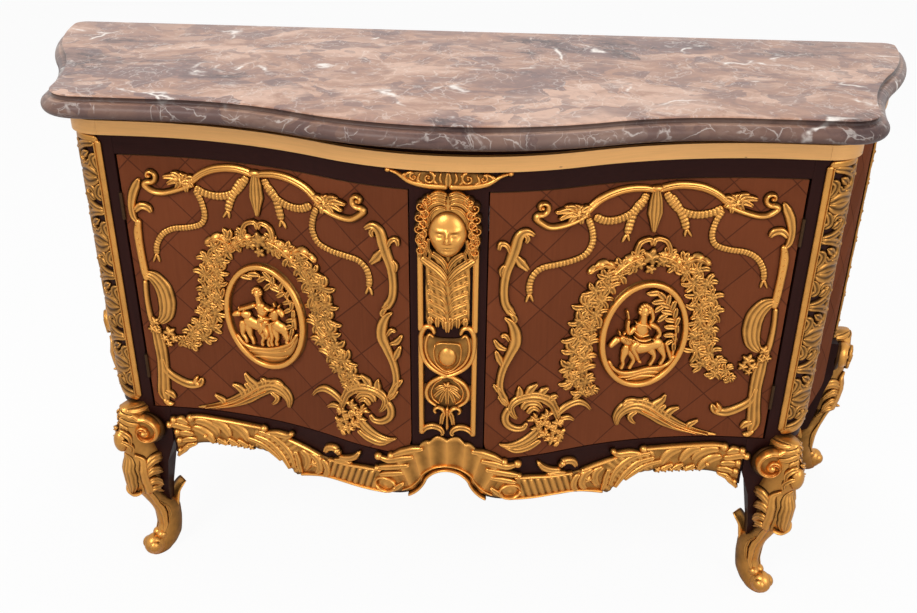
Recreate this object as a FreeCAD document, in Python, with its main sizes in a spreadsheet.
import FreeCAD
import Part
import math
import os
from FreeCAD import Vector

# Two-door commode chest: serpentine case on cabriole legs, marble top, gilt bronze mounts.
# Millimetres. X runs across the front, the front faces -Y, Z is up and the floor is Z = 0.
# The right half is modelled, and the left half is its mirror image.

# Driving dimensions, with the heights measured from the floor
SIZES = {
    "overall_height": 920,
    "overall_depth": 608,
    "marble_thickness": 34,
    "marble_bullnose": 24,
    "marble_step": 15,
    "neck_height": 22,
    "neck_setback": 4,
    "band_height": 23,
    "band_proud": 10,
    "top_rail_height": 56,
    "door_bottom": 337,
    "door_outer": 534,
    "door_inner": 60,
    "door_corner": 35,
    "door_thickness": 20,
    "veneer_thickness": 1.5,
    "door_gap": 2,
    "hinge_gap": 4,
    "rail_thickness": 22,
    "side_thickness": 20,
    "back_thickness": 10,
    "board_thickness": 18,
    "shelf_height": 560,
    "shelf_setback": 40,
    "batten_width": 18,
    "batten_height": 12,
    "seat_gap": 0.3,
    "bow_radius": 450,
    "hollow_radius": 750,
    "bow_half_width": 500,
    "flank_width": 56,
    "corner_radius": 51,
    "side_lean": 14,
    "side_sweep": 16,
    "rear_radius": 45,
    "front_overhang": 60,
    "back_overhang": 10,
    "top_bow_radius": 581,
    "top_hollow_radius": 499,
    "top_bow_half_width": 420,
    "top_flank_width": 136,
    "top_ear_radius": 70,
    "top_side_lean": 8,
    "top_side_sweep": 22,
    "top_rear_radius": 35,
    "front_post_depth": 77,
    "rear_post_width": 51,
    "rear_post_depth": 79,
    "side_arch_rise": 25,
    "hinge_proud": 2.6,
    "knuckle_radius": 3,
    "pin_radius": 1.5,
    "pin_short": 2,
    "running_gap": 0.05,
    "leaf_thickness": 1.5,
    "leaf_width": 20,
    "leaf_height": 46,
    "hinge_inset": 85,
    "magnet_height": 40,
    "magnet_depth": 12,
    "magnet_overlap": 24,
    "catch_drop": 49,
    "mount_relief": 6,
    "medallion_offset": 248,
    "medallion_lift": 206,
    "medallion_half_width": 74,
    "medallion_half_height": 98,
    "medallion_band": 12,
    "corner_mount_relief": 5,
    "rear_mount_width": 50,
    "ankle_inset": 7,
    "ankle_setback": 32,
    "rear_ankle_inset": 32,
    "rear_ankle_setback": 46,
    "rear_leg_turn": 20,
    "rear_leg_scale": 0.9,
    "foot_height": 104,
    "corner_mount_lift": 11,
    "corner_mount_drop": 3,
    "corner_mount_border": 8,
    "rear_mount_inset": 30,
}

doc = FreeCAD.newDocument("commode_chest")
sheet = doc.addObject("Spreadsheet::Sheet", "Sizes")
for row, (alias, value) in enumerate(SIZES.items(), 1):
    sheet.set(f"A{row}", alias)
    sheet.set(f"B{row}", str(value))
    sheet.setAlias(f"B{row}", alias)
doc.recompute()


def size(alias):
    """The value that the sheet holds under this alias."""
    return float(getattr(sheet, alias))


# Levels and planes that several pieces share, as expressions of the sheet
MARBLE_BOTTOM = "Sizes.overall_height - Sizes.marble_thickness"
CASE_TOP = "Sizes.overall_height - Sizes.marble_thickness - Sizes.neck_height"
TOP_RAIL_LEVEL = f"({CASE_TOP} - Sizes.top_rail_height)"
DOOR_TOP = f"({TOP_RAIL_LEVEL} - Sizes.door_gap)"
RAIL_LEVEL = "Sizes.door_bottom - Sizes.door_gap"
POST_INNER = "Sizes.door_outer + Sizes.hinge_gap"
BACK_PLANE = "Sizes.overall_depth / 2 - Sizes.back_overhang"
case_front = -size("overall_depth") / 2 + size("front_overhang")
case_back = size("overall_depth") / 2 - size("back_overhang")
case_top = size("overall_height") - size("marble_thickness") - size("neck_height")
door_top = case_top - size("top_rail_height") - size("door_gap")
post_inner = size("door_outer") + size("hinge_gap")
rail_level = size("door_bottom") - size("door_gap")
seat = size("seat_gap")
reach = size("overall_depth")

sub_parts = []


def keep(shape_object, label):
    """Name a finished sub-part; its label names its file."""
    shape_object.Label = label
    sub_parts.append(shape_object)
    return shape_object


# Plan outlines: chains of tangent arcs and lines from the front centre round to the back

def half_chain(start, steps, back):
    """Edges of the right half of a plan. Each step is (radius, turn) in degrees, or (length, None)."""
    point = Vector(*start)
    heading = 0.0
    edges = []
    for amount, turn in steps:
        ahead = Vector(math.cos(heading), math.sin(heading), 0)
        if turn is None:
            end = point + ahead * amount
            edges.append(Part.makeLine(point, end))
        else:
            side = math.copysign(1, turn)
            left = Vector(-math.sin(heading), math.cos(heading), 0)
            centre = point + left * (side * amount)
            spoke = point - centre
            half = FreeCAD.Rotation(Vector(0, 0, 1), turn / 2)
            full = FreeCAD.Rotation(Vector(0, 0, 1), turn)
            end = centre + full.multVec(spoke)
            edges.append(Part.Arc(point, centre + half.multVec(spoke), end).toShape())
            heading += math.radians(turn)
        point = end
    edges.append(Part.makeLine(point, Vector(0, back, 0)))
    return edges


def plan_face(half_edges):
    """Face bounded by the right half's edges and their mirror image."""
    mirrored = [edge.mirror(Vector(0, 0, 0), Vector(1, 0, 0)) for edge in half_edges]
    return Part.Face(Part.Wire(Part.__sortEdges__(half_edges + mirrored)))


def plan_steps(bow, hollow, bow_width, flank, corner, lean, sweep, rear, front, back, offset):
    """Steps of a serpentine plan, moved outwards by the offset: round bends grow and hollow ones shrink.

    The side's two arcs are as large as they must be to reach the back.
    """
    swing = math.degrees(math.asin(bow_width / (bow + hollow)))
    flank_y = front + (bow + hollow) * (1 - math.cos(math.radians(swing)))
    first = math.radians(90 - lean)
    middle = math.radians(90 - lean - sweep)
    corner_y = flank_y + corner * (1 - math.cos(first))
    rear_y = back - rear * (1 + math.cos(first))
    side = (rear_y - corner_y) / 2 / (math.cos(middle) - math.cos(first))
    return [(bow + offset, swing), (hollow - offset, -swing), (flank, None), (corner + offset, 90 - lean),
            (side - offset, -sweep), (side + offset, sweep), (rear + offset, 90 + lean)]


def case_plan(offset):
    """Plan face of the case, moved outwards by the offset."""
    steps = plan_steps(size("bow_radius"), size("hollow_radius"), size("bow_half_width"), size("flank_width"),
                       size("corner_radius"), size("side_lean"), size("side_sweep"), size("rear_radius"),
                       case_front, case_back, offset)
    return plan_face(half_chain((0, case_front - offset, 0), steps, case_back + offset))


def marble_plan(offset):
    """Plan of the marble's widest line, moved outwards by the offset, as the right half's edges."""
    front = -size("overall_depth") / 2
    back = size("overall_depth") / 2
    steps = plan_steps(size("top_bow_radius"), size("top_hollow_radius"), size("top_bow_half_width"),
                       size("top_flank_width"), size("top_ear_radius"), size("top_side_lean"),
                       size("top_side_sweep"), size("top_rear_radius"), front, back, offset)
    return half_chain((0, front - offset, 0), steps, back + offset)


# The front's flat flank, where the posts and hinges stand
swing_angle = math.asin(size("bow_half_width") / (size("bow_radius") + size("hollow_radius")))
flank_y = case_front + (size("bow_radius") + size("hollow_radius")) * (1 - math.cos(swing_angle))
corner_x = size("bow_half_width") + size("flank_width")


# Legs. Wood: level, then how far the inner, outer, front and back faces lie from the ankle's axis
FRONT_LEG = [(335, 37, 43, 32, 45), (262, 36, 46, 36, 38), (240, 28, 44, 35, 26), (215, 19, 41, 33, 15),
             (170, 12, 33, 29, 9), (145, 8, 27, 25, 6), (104, 4, 12, 12, 4)]
REAR_LEG = [(335, 32, 28, 33, 46), (262, 31, 29, 33, 44), (240, 26, 26, 28, 36), (215, 18, 22, 22, 27),
            (170, 11, 18, 15, 20), (145, 7, 15, 11, 15), (104, 4, 8, 6, 8)]
# Gilt knee and foot: level, the ring's centre along the leg's outward line, its half length and half width
LEG_CASTING = [(0, 40, 20, 12), (8, 36, 30, 17), (30, 32, 38, 19), (41, 28, 33, 18), (50, 10, 25, 17),
               (88, 10, 25, 16), (106, 17, 23, 15), (118, 27, 18, 13), (154, 46, 19, 15), (158, 44, 32, 26),
               (190, 46, 34, 27), (214, 46, 36, 29), (244, 36, 37, 28), (258, 43, 42, 24), (286, 45, 44, 24),
               (304, 40, 39, 26), (322, 39, 34, 29), (336, 45, 30, 26), (344, 46, 20, 14)]
# The horn that stands up behind the ankle, in the same terms
LEG_HORN = [(78, 0, 10, 12), (100, -7, 7, 11), (116, -14, 6, 9), (131, -27, 4, 8)]
# Volutes beside the knee: distances out and to the side, turn from the outward line, level and sizes
VOLUTE_OUT = 45
VOLUTE_SIDE = 31.5
VOLUTE_TURN = 38
VOLUTE_LEVEL = 295
VOLUTE_RADIUS = 31
VOLUTE_BACK = 16
VOLUTE_FRONT = 6
CASTING_SIDES = 8
ANKLE = FRONT_LEG[-1][0]
front_axis = (post_inner + size("ankle_inset"), flank_y + size("ankle_setback"))
rear_inner = max(vertex.X for vertex in case_plan(0).Vertexes) - size("rear_post_width")
rear_axis = (rear_inner + size("rear_ankle_inset"), case_back - size("rear_ankle_setback"))
leg_inner = front_axis[0] - FRONT_LEG[0][1]


# Document objects that the case is made of

def prism(name, face, bottom, top):
    """Upright prism of a plan face between two levels."""
    profile = doc.addObject("Part::Feature", name + "_plan")
    profile.Shape = face
    profile.setExpression(".Placement.Base.z", bottom)
    solid = doc.addObject("Part::Extrusion", name)
    solid.Base = profile
    solid.DirMode = "Custom"
    solid.Dir = Vector(0, 0, 1)
    solid.Solid = True
    solid.setExpression("LengthFwd", f"({top}) - ({bottom})")
    return solid


def box(name, low, high):
    """Box between two corners, each given as three expressions."""
    solid = doc.addObject("Part::Box", name)
    for side, axis, start, end in zip(("Length", "Width", "Height"), "xyz", low, high):
        solid.setExpression(side, f"({end}) - ({start})")
        solid.setExpression(f".Placement.Base.{axis}", str(start))
    return solid


def cylinder(name, radius, x, y, bottom, top):
    """Upright cylinder, its sizes given as expressions."""
    solid = doc.addObject("Part::Cylinder", name)
    solid.setExpression("Radius", radius)
    solid.setExpression("Height", f"({top}) - ({bottom})")
    for axis, value in zip("xyz", (x, y, bottom)):
        solid.setExpression(f".Placement.Base.{axis}", str(value))
    return solid


def cut(name, base, tool):
    """Base less tool."""
    result = doc.addObject("Part::Cut", name)
    result.Base = base
    result.Tool = tool
    return result


def common(name, first, second):
    """What two solids share."""
    result = doc.addObject("Part::Common", name)
    result.Base = first
    result.Tool = second
    return result


def fuse(name, solids):
    """Several solids joined into one."""
    result = doc.addObject("Part::MultiFuse", name)
    result.Shapes = solids
    return result


def mirror(name, source):
    """The left-hand twin of a right-hand piece."""
    result = doc.addObject("Part::Mirroring", name)
    result.Source = source
    result.Base = Vector(0, 0, 0)
    result.Normal = Vector(1, 0, 0)
    return result


def pair(source, name):
    """Keep a right-hand piece and its left-hand twin."""
    keep(source, "right_" + name)
    return keep(mirror("mirror_" + name, source), "left_" + name)


def both_hands(source, name):
    """Keep a right-hand piece and its left-hand twin as one node of like pieces."""
    together = doc.addObject("Part::Compound", name + "_both")
    together.Links = [source, mirror("mirror_" + name, source)]
    return keep(together, name)


def skin(name, outer, inner, bottom, top):
    """Upright wall that follows the case's plan between two offsets."""
    return cut(name, prism(name + "_outer", case_plan(outer), bottom, top),
               prism(name + "_inner", case_plan(inner), bottom, top))


FRONT = f"-{reach}"
HALF_FRONT = "-Sizes.overall_depth / 10"


def front_piece(name, left, right, bottom, top, outer, inner):
    """Piece of the bowed front between two X planes and two levels."""
    block = box(name + "_block", (left, FRONT, bottom), (right, HALF_FRONT, top))
    return common(name, block, skin(name + "_skin", outer, inner, bottom, top))


# Marble top: a round-nosed slab with a stepped upper slab on it

NOSE_FACETS = 4


def marble_slab(name, profile):
    """Slab through plan outlines, each given as an offset from the widest line and a level expression."""
    rings = []
    for number, (offset, level) in enumerate(profile):
        ring = doc.addObject("Part::Feature", f"{name}_outline_{number}")
        ring.Shape = plan_face(marble_plan(offset)).OuterWire
        ring.setExpression(".Placement.Base.z", level)
        rings.append(ring)
    slab = doc.addObject("Part::Loft", name)
    slab.Sections = rings
    slab.Solid = True
    slab.Ruled = True
    return slab


def marble_top():
    """Slab whose round nose is the widest line, under a stepped upper slab with a soft arris."""
    radius = size("marble_bullnose") / 2
    middle = f"{MARBLE_BOTTOM} + Sizes.marble_bullnose / 2"
    nose = []
    for facet in range(NOSE_FACETS + 1):
        angle = math.pi * (facet / NOSE_FACETS - 0.5)
        level = f"{middle} + Sizes.marble_bullnose / 2 * {math.sin(angle)}"
        nose.append((radius * (math.cos(angle) - 1), level))
    step = size("marble_step")
    arris = (size("marble_thickness") - size("marble_bullnose")) / 4
    upper = [(-step, middle), (-step, f"Sizes.overall_height - {arris}"),
             (-step - arris, "Sizes.overall_height")]
    slabs = [marble_slab("marble_nose", nose), marble_slab("marble_upper", upper)]
    keep(fuse("marble_piece", slabs), "marble_top")


# Case boards, rails and panels

def band_lengths():
    """Gilt band under the marble: a front length and two that turn the corners and run along the sides."""
    level = f"{CASE_TOP} - Sizes.band_height"
    outer = f"{reach}"
    joint = f"{corner_x} + Sizes.seat_gap"
    ring = skin("band_ring", size("band_proud"), seat, level, CASE_TOP)
    front = box("front_band_block", (f"-{corner_x}", FRONT, level), (f"{corner_x}", "0", CASE_TOP))
    side = box("side_band_block", (joint, FRONT, level), (f"2 * {outer}", BACK_PLANE, CASE_TOP))
    keep(common("front_band_piece", front, ring), "front_band")
    pair(common("side_band_piece", side, ring), "side_band")


def case_boards():
    """Sub-top under the marble, bottom board, shelf on battens and back panel."""
    keep(prism("sub_top_board", case_plan(-size("neck_setback")), CASE_TOP, MARBLE_BOTTOM), "sub_top")
    inside = size("rail_thickness") + seat
    post_y = f"{flank_y} + Sizes.front_post_depth + Sizes.seat_gap"
    rear_y = f"{BACK_PLANE} - Sizes.rear_post_depth - Sizes.seat_gap"
    back_y = f"{BACK_PLANE} - Sizes.back_thickness - Sizes.seat_gap"
    wide = f"{2 * reach}"

    def inner_board(name, bottom, top, front, notch):
        """Board inside the case, notched round the posts, from the notch's X in front."""
        board = prism(name + "_blank", case_plan(-inside), bottom, top)
        room = box(name + "_room", (f"-{wide}", front, bottom), (wide, back_y, top))
        notches = []
        for sign, hand in ((1, "right"), (-1, "left")):
            front_x = f"{sign} * ({notch} - Sizes.seat_gap)"
            rear_x = f"{sign} * ({rear_inner} - Sizes.seat_gap)"
            places = (("front", front_x, FRONT, post_y), ("rear", rear_x, rear_y, wide))
            for place, x, low_y, high_y in places:
                left, right = (x, wide) if sign > 0 else (f"-{wide}", x)
                label = f"{name}_{hand}_{place}_notch"
                notches.append(box(label, (left, low_y, bottom), (right, high_y, top)))
        return cut(name + "_board", common(name + "_trim", board, room), fuse(name + "_notches", notches))

    bottom_low = f"{RAIL_LEVEL} - Sizes.board_thickness"
    keep(inner_board("bottom", bottom_low, RAIL_LEVEL, FRONT, f"{leg_inner}"), "bottom_board")
    shelf_front = f"{flank_y} + Sizes.shelf_setback"
    shelf_top = "Sizes.shelf_height + Sizes.board_thickness"
    keep(inner_board("shelf", "Sizes.shelf_height", shelf_top, shelf_front, POST_INNER), "shelf")

    batten_level = "Sizes.shelf_height - Sizes.batten_height"
    rail = skin("batten_skin", -size("side_thickness") - seat,
                -size("side_thickness") - seat - size("batten_width"), batten_level, "Sizes.shelf_height")
    length = box("batten_block", ("0", post_y, batten_level), (wide, rear_y, "Sizes.shelf_height"))
    both_hands(common("shelf_batten_piece", length, rail), "shelf_battens")

    back_low = f"{RAIL_LEVEL} - 4 * Sizes.board_thickness"
    half = f"{rear_inner} - Sizes.seat_gap"
    keep(box("back_panel_box", (f"-({half})", f"{BACK_PLANE} - Sizes.back_thickness", back_low),
             (half, BACK_PLANE, CASE_TOP)), "back_panel")


def side_panels():
    """Serpentine side panel between the posts, its lower edge cut to a shallow arch."""
    low = f"{RAIL_LEVEL} - 4 * Sizes.board_thickness"
    start = flank_y + size("front_post_depth") + seat
    end = case_back - size("rear_post_depth") - seat
    wall = skin("side_skin", 0, -size("side_thickness"), low, CASE_TOP)
    length = box("side_block", ("0", f"{start}", low), (f"2 * {reach}", f"{end}", CASE_TOP))
    span = (end - start) * 0.44
    rise = size("side_arch_rise")
    radius = (span ** 2 + rise ** 2) / (2 * rise)
    arch = doc.addObject("Part::Cylinder", "side_arch")
    arch.Radius = radius
    arch.setExpression("Height", f"2 * {reach}")
    low_z = rail_level - 4 * size("board_thickness")
    arch.Placement = FreeCAD.Placement(Vector(0, (start + end) / 2, low_z + rise - radius),
                                       FreeCAD.Rotation(Vector(0, 1, 0), 90))
    pair(cut("side_panel_piece", common("side_panel_blank", length, wall), arch), "side_panel")


def spline(points):
    """Smooth edge through the points (x, z) on the plane Y = 0, or a line where there are only two."""
    places = [Vector(x, 0, z) for x, z in points]
    if len(places) == 2:
        return Part.makeLine(*places)
    curve = Part.BSplineCurve()
    curve.interpolate(places)
    return curve.toShape()


# The apron's lower edge from its centre arch to the leg, measured from the door's bottom
ARCH_RISE = -26
ARCH_SPRING = (33, -44)
APRON_LOBE = [ARCH_SPRING, (42, -62), (62, -80), (90, -89), (119, -90)]
APRON_SWELL = [(119, -90), (152, -94), (207, -99), (240, -99), (272, -109)]
APRON_HOLLOW = [(272, -109), (282, -97), (302, -85), (334, -74), (406, -70), (447, -74), (480, -85),
                (503, -104)]


def raised(points, lift):
    """Points measured from the door's bottom as places above the floor, lifted a little."""
    base = size("door_bottom") + lift
    return [(x, base + z) for x, z in points]


def arch_edge(lift):
    """Round arch over the apron's centre."""
    (x, spring), (_, rise) = raised([ARCH_SPRING, (0, ARCH_RISE)], lift)
    return Part.Arc(Vector(-x, 0, spring), Vector(0, 0, rise), Vector(x, 0, spring)).toShape()


def both_sides(edges):
    """Edges with their mirror image across X = 0."""
    return edges + [edge.mirror(Vector(0, 0, 0), Vector(1, 0, 0)) for edge in edges]


def front_wall(low, high, outer, inner):
    """Upright wall round the case between two levels and two offsets of its plan."""
    rise = Vector(0, 0, high - low)
    wall = case_plan(outer).extrude(rise).cut(case_plan(inner).extrude(rise))
    wall.translate(Vector(0, 0, low))
    return wall


def front_solid(face, outer, inner):
    """Flat outline on the plane Y = 0, carried onto the bowed front between two plan offsets."""
    bounds = face.BoundBox
    rod = face.copy()
    rod.translate(Vector(0, -reach, 0))
    rod = rod.extrude(Vector(0, reach + flank_y + size("front_post_depth"), 0))
    return rod.common(front_wall(bounds.ZMin, bounds.ZMax, outer, inner))


def solid_feature(name, shape):
    """Document object that holds a shape worked out in code."""
    feature = doc.addObject("Part::Feature", name)
    feature.Shape = shape
    return feature


APRON_LIFT = 5


def front_rails():
    """Top rail, centre stile and the apron rail with its shaped lower edge."""
    depth = -size("rail_thickness")
    post = f"({POST_INNER}) - Sizes.seat_gap"
    rail = front_piece("top_rail_piece", f"-({post})", post, TOP_RAIL_LEVEL, CASE_TOP, 0, depth)
    keep(rail, "top_rail")
    stile = "Sizes.door_inner - Sizes.door_gap"
    upright = front_piece("stile_piece", f"-({stile})", stile, RAIL_LEVEL, TOP_RAIL_LEVEL, 0, depth)
    keep(upright, "centre_stile")
    end = leg_inner - seat
    last = raised([APRON_HOLLOW[-1]], APRON_LIFT)[0]
    lower = [spline(raised(run, APRON_LIFT)) for run in (APRON_LOBE, APRON_SWELL, APRON_HOLLOW)]
    lower.append(spline([last, (end, last[1])]))
    lower.append(spline([(end, last[1]), (end, rail_level)]))
    top = spline([(-end, rail_level), (end, rail_level)])
    outline = Part.Wire(Part.__sortEdges__(both_sides(lower) + [arch_edge(APRON_LIFT), top]))
    keep(solid_feature("apron_rail_piece", front_solid(Part.Face(outline), 0, depth)), "apron_rail")


# Corner posts with cabriole legs, and the gilt mounts that cap them

def leg_level(level):
    """Levels are stated for the nominal leg; the foot keeps its height and the rest stretches to the rail."""
    foot = size("foot_height")
    if level <= ANKLE:
        return level * foot / ANKLE
    return foot + (level - ANKLE) * (rail_level - foot) / (FRONT_LEG[0][0] - ANKLE)


def ruled_loft(rings):
    """Solid through a row of closed rings of points, its sides made of flat faces."""
    faces = [Part.Face(Part.makePolygon(ring + ring[:1])) for ring in (rings[0], rings[-1])]
    for low, high in zip(rings, rings[1:]):
        for side in range(len(low)):
            after = (side + 1) % len(low)
            for corners in ((low[side], low[after], high[after]), (low[side], high[after], high[side])):
                faces.append(Part.Face(Part.makePolygon([*corners, corners[0]])))
    solid = Part.Solid(Part.Shell(faces))
    if solid.Volume < 0:
        solid.reverse()
    return solid


def wooden_leg(axis, sections):
    """Square leg that tapers to the ankle."""
    x, y = axis
    rings = []
    for level, inner, outer, front, back in sections:
        near = [(x - inner, y - front), (x + outer, y - front)]
        corners = near + [(x + outer, y + back), (x - inner, y + back)]
        rings.append([Vector(a, b, leg_level(level)) for a, b in corners])
    return ruled_loft(rings)


def leg_place(axis, outward, scale):
    """Place of a point of a leg's mount, from its distances out and to the side and its level."""
    along, across = math.cos(outward), math.sin(outward)

    def place(out, side, level):
        x = axis[0] + scale * (out * along - side * across)
        y = axis[1] + scale * (out * across + side * along)
        return Vector(x, y, leg_level(level))

    return place


def ring_loft(place, table):
    """Solid through oval rings set one above the other along the leg."""
    rings = []
    for level, centre, half_length, half_width in table:
        ring = []
        for side in range(CASTING_SIDES):
            angle = 2 * math.pi * side / CASTING_SIDES
            ring.append(place(centre + half_length * math.cos(angle), half_width * math.sin(angle), level))
        rings.append(ring)
    return ruled_loft(rings)


def volute(place, hand):
    """Round scroll end on one side of the knee."""
    turn = hand * math.radians(VOLUTE_TURN)
    rings = []
    for depth in (-VOLUTE_BACK, VOLUTE_FRONT):
        ring = []
        for side in range(CASTING_SIDES):
            angle = 2 * math.pi * side / CASTING_SIDES
            along = VOLUTE_RADIUS * math.cos(angle)
            ring.append(place(VOLUTE_OUT + depth * math.cos(turn) - along * math.sin(turn),
                              hand * VOLUTE_SIDE + depth * math.sin(turn) + along * math.cos(turn),
                              VOLUTE_LEVEL + VOLUTE_RADIUS * math.sin(angle)))
        rings.append(ring)
    return ruled_loft(rings)


def gilt_leg(axis, outward, scale, hands):
    """Knee with volutes over an overhanging leaf, a strap down the leg and a scrolled foot with a horn."""
    place = leg_place(axis, outward, scale)
    parts = [ring_loft(place, LEG_HORN)] + [volute(place, hand) for hand in hands]
    return ring_loft(place, LEG_CASTING).multiFuse(parts)


def legs():
    """Front and rear legs, each a post and leg in one, with the mount that forms its knee and foot."""
    bisector = math.radians(-90 + (90 - size("side_lean")) / 2)
    far = 4 * reach
    rows = (("front_leg", front_axis, bisector, FRONT_LEG, 1.0, (-1, 1),
             (post_inner, -far, flank_y + size("front_post_depth"))),
            ("rear_leg", rear_axis, math.radians(size("rear_leg_turn")), REAR_LEG, size("rear_leg_scale"),
             (-1,), (rear_inner, case_back - size("rear_post_depth"), far)))
    for name, axis, outward, sections, scale, hands, (inner_x, low_y, high_y) in rows:
        height = case_top - rail_level
        post = case_plan(0).extrude(Vector(0, 0, height))
        post.translate(Vector(0, 0, rail_level))
        room = Part.makeBox(far, high_y - low_y, height, Vector(inner_x, low_y, rail_level))
        wood = post.common(room).fuse(wooden_leg(axis, sections)).removeSplitter()
        pair(solid_feature(name + "_piece", wood), name)
        gilt = gilt_leg(axis, outward, scale, hands).cut(wood)
        pair(solid_feature(name + "_mount_piece", gilt), name + "_mount")


# Doors, hinges and catches

def door_blank(name, outer, inner):
    """Door-sized piece of the front with the lower inner corner rounded."""
    block = box(name + "_block", ("Sizes.door_inner", FRONT, "Sizes.door_bottom"),
                ("Sizes.door_outer", HALF_FRONT, DOOR_TOP))
    doc.recompute()
    corner = Vector(size("door_inner"), 0, size("door_bottom"))
    for number, edge in enumerate(block.Shape.Edges, 1):
        ends = [vertex.Point for vertex in edge.Vertexes]
        if all(abs(end.x - corner.x) < 0.01 and abs(end.z - corner.z) < 0.01 for end in ends):
            rounded = doc.addObject("Part::Fillet", name + "_rounded")
            rounded.Base = block
            rounded.Edges = [(number, size("door_corner"), size("door_corner"))]
    return common(name, rounded, skin(name + "_skin", outer, inner, "Sizes.door_bottom", DOOR_TOP))


HINGE_X = "Sizes.door_outer + Sizes.hinge_gap / 2"
HINGE_Y = f"{flank_y} - Sizes.hinge_proud"
HINGE_LEVELS = ("Sizes.door_bottom + Sizes.hinge_inset", f"{DOOR_TOP} - Sizes.hinge_inset")


def hinge_leaf(name, x_low, x_high, level, knuckle):
    """Leaf let in beside the gap, with its knuckle and the neck that joins them."""
    half = "Sizes.leaf_height / 2"
    plate_y = f"{HINGE_Y} + Sizes.knuckle_radius + Sizes.leaf_thickness"
    low, high = knuckle
    plate = box(name + "_plate", (x_low, plate_y, f"{level} - {half}"),
                (x_high, f"{plate_y} + Sizes.leaf_width", f"{level} + {half}"))
    barrel = cylinder(name + "_knuckle", "Sizes.knuckle_radius", HINGE_X, HINGE_Y, low, high)
    neck = box(name + "_neck", (x_low, HINGE_Y, low), (x_high, f"{plate_y} + Sizes.leaf_thickness", high))
    return [plate, barrel, neck]


def hinges():
    """Two lift-off hinges a door: the post's leaf has a fixed pin, and the door's knuckle drops over it."""
    half = "Sizes.leaf_height / 2"
    clear = "Sizes.seat_gap / 2"
    bore = "Sizes.pin_radius + Sizes.running_gap"
    door_leaves = []
    post_leaves = []
    edge = "Sizes.door_outer + Sizes.hinge_gap / 20"
    post = f"{POST_INNER} - Sizes.hinge_gap / 20"
    for number, level in enumerate(HINGE_LEVELS):
        upper = (f"{level} + {clear}", f"{level} + {half}")
        lower = (f"{level} - {half}", f"{level} - {clear}")
        name = f"door_leaf_{number}"
        leaf = hinge_leaf(name, edge, f"{edge} + Sizes.leaf_thickness", level, upper)
        hole = cylinder(name + "_hole", bore, HINGE_X, HINGE_Y, *upper)
        door_leaves.append(cut(name, fuse(name + "_blank", leaf), hole))
        name = f"post_leaf_{number}"
        leaf = hinge_leaf(name, f"{post} - Sizes.leaf_thickness", post, level, lower)
        pin_end = f"{upper[1]} - Sizes.pin_short"
        pin = cylinder(name + "_pin", "Sizes.pin_radius", HINGE_X, HINGE_Y, lower[0], pin_end)
        post_leaves.append(fuse(name, leaf + [pin]))
    for name, group, keep_them in (("door_hinge_leaves", door_leaves, pair),
                                   ("post_hinge_leaves", post_leaves, both_hands)):
        together = doc.addObject("Part::Compound", name + "_group")
        together.Links = group
        keep_them(together, name)


def catches():
    """Steel plate on the back of each door, and the magnet behind the stile that holds it."""
    low = f"{DOOR_TOP} - Sizes.catch_drop - Sizes.magnet_height / 2"
    high = f"{DOOR_TOP} - Sizes.catch_drop + Sizes.magnet_height / 2"
    left = "Sizes.door_inner + Sizes.door_gap"
    right = "Sizes.door_inner + Sizes.magnet_overlap"
    door_back = -size("door_thickness") - 0.1
    stile_back = -size("rail_thickness") - 0.1
    plate = front_piece("catch_plate_piece", left, right, low, high, door_back, stile_back + seat)
    pair(plate, "catch_plate")
    start = "Sizes.door_inner - Sizes.magnet_overlap"
    magnet_back = stile_back - size("magnet_depth")
    magnet = front_piece("magnet_piece", start, right, low, high, stile_back, magnet_back)
    both_hands(magnet, "door_magnets")


# Gilt mounts: flat outlines carried onto the bowed front as raised castings

BOSS_SIDES = 8
FRAME_SIDES = 18
FRAME_PROUD = 4
PIERCINGS = 6
# Outlines are drawn for a door of this width and height, the crest for a strip of rail of this height
DRAWN_WIDTH = 474
DRAWN_HEIGHT = 469
DRAWN_STRIP = 35
door_stretch_x = (size("door_outer") - size("door_inner")) / DRAWN_WIDTH
door_stretch_z = (door_top - size("door_bottom")) / DRAWN_HEIGHT
strip_stretch_z = (case_top - size("band_height") - door_top) / DRAWN_STRIP


def outline(points, stretch_z=door_stretch_z):
    """Flat face with straight sides through the points (x, z) on the plane Y = 0, stretched with the door."""
    places = [Vector(x * door_stretch_x, 0, z * stretch_z) for x, z in points]
    return Part.Face(Part.makePolygon(places + places[:1]))


def stroke(points, widths, stretch_z=door_stretch_z):
    """Leaf or scroll: a line through the points, given a width at each of them."""
    left = []
    right = []
    for place, ((x, z), width) in enumerate(zip(points, widths)):
        before = points[max(place - 1, 0)]
        after = points[min(place + 1, len(points) - 1)]
        along = Vector(after[0] - before[0], 0, after[1] - before[1]).normalize()
        left.append((x - along.z * width / 2, z + along.x * width / 2))
        right.append((x + along.z * width / 2, z - along.x * width / 2))
    return outline(left + right[::-1], stretch_z)


def boss(x, z, radius, height=None, sides=BOSS_SIDES):
    """Round or oval boss."""
    tall = height or radius
    angles = [2 * math.pi * (side + 0.5) / sides for side in range(sides)]
    return outline([(x + radius * math.cos(angle), z + tall * math.sin(angle)) for angle in angles])


def bar(left, right, bottom, top):
    """Straight flat bar."""
    return outline([(left, bottom), (right, bottom), (right, top), (left, top)])


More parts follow.
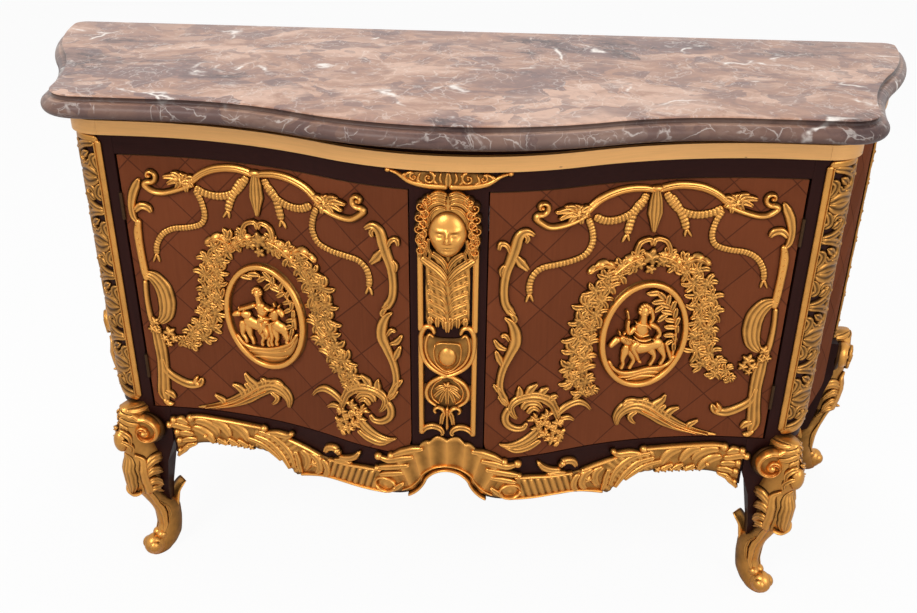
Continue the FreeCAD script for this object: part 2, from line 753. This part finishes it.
def casting(name, faces, anchor, relief):
    """One casting: outlines moved to their anchor and joined, then raised from the bowed front.

    Each outline runs back a little further than the one before, so that no two ends lie in one plane.
    """
    rods = []
    for number, face in enumerate(faces, 1):
        face.translate(Vector(anchor[0], -reach - number, anchor[1]))
        rods.append(face.extrude(Vector(0, reach + 2 * number, 0)))
    whole = rods[0].multiFuse(rods[1:]) if len(rods) > 1 else rods[0]
    bounds = whole.BoundBox
    raised_wall = front_wall(bounds.ZMin, bounds.ZMax, seat + relief, seat)
    solid = whole.common(raised_wall).removeSplitter()
    if len(solid.Solids) != 1:
        raise RuntimeError(f"{name} falls into {len(solid.Solids)} pieces")
    return solid_feature(name, solid)


def door_mounts():
    """Castings on the right door and their mirror images on the left one."""
    relief = size("mount_relief")
    middle_x = size("door_inner") + size("medallion_offset") * door_stretch_x
    medallion = (middle_x, size("door_bottom") + size("medallion_lift") * door_stretch_z)
    top = (middle_x, door_top)
    bottom = (middle_x, size("door_bottom"))
    inner = (size("door_inner"), size("door_bottom"))
    outer = (size("door_outer"), size("door_bottom"))

    arch = [stroke([(-176, -32), (-150, -52), (-100, -38), (-50, -14), (0, -10), (46, -12), (98, -36),
                    (150, -56), (181, -38)], [16, 13, 16, 11, 12, 11, 16, 13, 16]),
            stroke([(-5, -12), (-2, -46), (-1, -84)], [12, 22, 6]),
            stroke([(-100, -38), (-91, -86), (-160, -121), (-189, -181)], [8] * 4),
            stroke([(98, -36), (91, -92), (165, -130), (185, -184)], [8] * 4),
            stroke([(-14, -12), (-38, -94)], [9, 9]),
            stroke([(16, -12), (57, -94)], [9, 9])]
    pair(casting("arch_mount_piece", arch, top, relief), "arch_mount")

    garland = [stroke([(-8, 127), (-58, 110), (-86, 70), (-108, 0), (-106, -62), (-86, -92)],
                      [26, 32, 36, 42, 40, 12]),
               stroke([(10, 127), (60, 110), (90, 68), (106, 8), (114, -50), (150, -84)],
                      [26, 32, 36, 38, 32, 10]),
               stroke([(-16, 132), (-10, 162), (14, 164), (24, 132)], [9] * 4),
               boss(0, 124, 22)]
    pair(casting("garland_piece", garland, medallion, relief), "garland")

    half_width = size("medallion_half_width")
    half_height = size("medallion_half_height")
    band = size("medallion_band")
    opening = boss(0, 0, half_width - band, half_height - band, FRAME_SIDES)
    frame = boss(0, 0, half_width, half_height, FRAME_SIDES).cut(opening).Faces[0]
    pair(casting("medallion_frame_piece", [frame], medallion, relief + FRAME_PROUD), "medallion_frame")
    figure = [stroke([(-32, -64), (0, -69), (32, -64)], [8, 12, 8]),
              boss(-4, -24, 27, 15),
              stroke([(-22, -18), (-34, 0), (-48, -4)], [14, 12, 8]),
              stroke([(-20, -28), (-26, -66)], [9, 7]),
              stroke([(18, -26), (24, -66)], [9, 7]),
              boss(0, 12, 15, 28),
              boss(0, 45, 12),
              stroke([(20, -30), (44, -6), (30, 44)], [8, 10, 16])]
    pair(casting("medallion_relief_piece", figure, medallion, relief), "medallion_relief")

    spray = [stroke([(142, 5), (72, 24), (17, 58), (-8, 75), (-27, 68), (-33, 34)], [2, 15, 23, 20, 15, 4]),
             stroke([(52, 38), (44, 68), (48, 88)], [14, 13, 3]),
             stroke([(84, 20), (71, 48), (76, 65)], [14, 12, 3])]
    pair(casting("acanthus_spray_piece", spray, bottom, relief), "acanthus_spray")

    corner = [stroke([(40, 104), (30, 86), (38, 62), (60, 64)], [8, 13, 12, 4]),
              stroke([(36, 96), (50, 119), (92, 120), (110, 84)], [8, 15, 17, 14]),
              boss(94, 66, 26),
              boss(104, 36, 18),
              stroke([(104, 72), (138, 91), (172, 71)], [12, 12, 4]),
              stroke([(26, 30), (56, 22), (86, 46)], [4, 14, 14])]
    pair(casting("corner_spray_piece", corner, inner, relief), "corner_spray")

    outer_scroll = [stroke([(-32, 429), (-15, 393), (-17, 313), (-24, 113), (-24, 33), (-30, 15)],
                           [4, 13, 11, 15, 19, 12]),
                    stroke([(-14, 369), (-45, 379)], [12, 5]),
                    stroke([(-18, 258), (-48, 246), (-58, 208), (-26, 164)], [10, 20, 26, 12]),
                    stroke([(-54, 150), (-22, 148)], [22, 12]),
                    stroke([(-24, 124), (-44, 74), (-80, 52), (-98, 60)], [8, 13, 16, 8])]
    pair(casting("hinge_side_scroll_piece", outer_scroll, outer, relief), "hinge_side_scroll")

    inner_scroll = [stroke([(66, 401), (48, 400), (24, 328), (24, 293), (38, 233), (20, 150), (26, 114)],
                           [4, 12, 11, 12, 20, 13, 8]),
                    stroke([(36, 366), (13, 390)], [12, 7]),
                    stroke([(32, 362), (62, 337)], [13, 3]),
                    stroke([(34, 210), (12, 231)], [11, 3])]
    pair(casting("centre_side_scroll_piece", inner_scroll, inner, relief), "centre_side_scroll")


def stile_mounts():
    """Crest on the top rail, mask with drapery, and the strapwork panel on the centre stile."""
    relief = size("mount_relief")
    top = (0, door_top)
    bottom = (0, size("door_bottom"))
    crest = [stroke([(-88, 27), (-55, 14), (0, 11), (55, 14), (88, 27)], [5, 7, 12, 7, 5], strip_stretch_z),
             stroke([(-56, 16), (-24, 24), (24, 24), (56, 16)], [7, 18, 18, 7], strip_stretch_z)]
    keep(casting("crest_piece", crest, top, relief), "crest_mount")

    mask = [boss(0, 424, 46, 44),
            stroke([(0, 400), (0, 330), (0, 245)], [54, 62, 58]),
            bar(37, 46, 237, 418),
            bar(-46, -37, 237, 418),
            bar(-43, 43, 239, 252)]
    keep(casting("mask_piece", mask, bottom, relief + FRAME_PROUD), "mask_mount")

    strap = [bar(37, 46, 47, 233),
             bar(-46, -37, 47, 233),
             boss(0, 196, 44, 38),
             boss(0, 131, 42, 42).cut(boss(0, 131, 30, 30)).Faces[0],
             stroke([(0, 98), (0, 78), (0, 58)], [34, 22, 34]),
             bar(-42, 42, 50, 60)]
    keep(casting("strapwork_piece", strap, bottom, relief), "strapwork_mount")


def apron_mounts():
    """Shell over the centre arch and a leafy border along each half of the apron."""
    relief = size("mount_relief")
    bottom = (0, size("door_bottom"))
    half_shell = [(0, 46), (20, 45), (34, 38), (52, 18), (78, 0), (116, -18), (118, -90)] + APRON_LOBE[-2::-1]
    spring_x, spring_z = ARCH_SPRING
    crown = [(spring_x * 0.6, spring_z * 0.3 + ARCH_RISE * 0.7)]
    half_shell += crown + [(0, ARCH_RISE)]
    mirrored = [(-x, z) for x, z in half_shell[-2:0:-1]]
    keep(casting("apron_shell_piece", [outline(half_shell + mirrored)], bottom, relief), "apron_shell")
    upper = [(120, -36), (150, -15), (190, -26), (215, -38), (258, -38), (280, -20), (345, -22), (470, -12),
             (492, -20), (504, -30)]
    lower = APRON_HOLLOW[::-1] + APRON_SWELL[-2:0:-1] + [(120, APRON_SWELL[0][1])]
    pair(casting("apron_border_piece", [outline(upper + lower)], bottom, relief), "apron_border")


# Leaf-shaped opening: places along and across it, in parts of the pitch
LEAF = ((-0.38, 0), (-0.06, 0.17), (0.38, 0), (0.06, -0.17))
LEAF_LEAN = math.radians(60)


def corner_mounts():
    """Pierced castings that wrap the front corners, and narrower ones along the rear edge of the sides."""
    relief = size("corner_mount_relief")
    low = rail_level + size("corner_mount_lift")
    high = case_top - size("band_height") - size("corner_mount_drop")
    wall = front_wall(low, high, seat + relief, seat)
    far = 4 * reach
    turn = 90 - size("side_lean")
    corner_y = flank_y + size("corner_radius")
    front_end = corner_y - size("corner_radius") * math.cos(math.radians(turn)) + size("corner_mount_border")
    width = size("rear_mount_width")
    rear_start = case_back - size("rear_post_depth") + size("rear_mount_inset") - width
    front_room = Part.makeBox(far, far + front_end, high - low, Vector(corner_x, -far, low))
    rear_room = Part.makeBox(far, width, high - low, Vector(0, rear_start, low))
    front_facing = math.radians(-90 + turn / 2)
    rows = (("front_corner_mount", front_room, Vector(corner_x, corner_y, 0), front_facing),
            ("rear_corner_mount", rear_room, Vector(0, rear_start + width / 2, 0), 0.0))
    for name, room, origin, facing in rows:
        blank = wall.common(room)
        pitch = (high - low) / PIERCINGS
        ray = Vector(math.cos(facing), math.sin(facing), 0)
        across = Vector(-ray.y, ray.x, 0)
        for number in range(PIERCINGS):
            middle = origin + Vector(0, 0, low + pitch * (number + 0.5))
            rise = math.sin(LEAF_LEAN) * (1 if number % 2 else -1)
            along = across * math.cos(LEAF_LEAN) + Vector(0, 0, rise)
            side = along.cross(ray)
            corners = [middle + along * (pitch * u) + side * (pitch * v) for u, v in LEAF]
            blank = blank.cut(Part.Face(Part.makePolygon(corners + corners[:1])).extrude(ray * far))
        pair(solid_feature(name + "_piece", blank), name)


marble_top()
band_lengths()
case_boards()
side_panels()
front_rails()
legs()
core_outer = -size("veneer_thickness")
pair(door_blank("door_core_piece", core_outer, -size("door_thickness")), "door_core")
pair(door_blank("door_veneer_piece", 0, core_outer), "door_parquetry")
hinges()
catches()
door_mounts()
stile_mounts()
apron_mounts()
corner_mounts()
doc.recompute()

# Every object must have built, and every sub-part must be a sound solid, before anything is written
for item in doc.Objects:
    if "Invalid" in item.State or "Error" in item.State:
        raise RuntimeError(f"{item.Name} did not build: {item.State}")
unsound = []
for part in sub_parts:
    if part.Shape.isNull() or not part.Shape.isValid() or not part.Shape.Solids:
        unsound.append(part.Label)
if unsound:
    raise RuntimeError(f"not sound solids: {unsound}")
os.makedirs("parts", exist_ok=True)
for part in sub_parts:
    part.Shape.exportStep(f"parts/{part.Label}.step")
print(len(sub_parts), "sub-parts written")
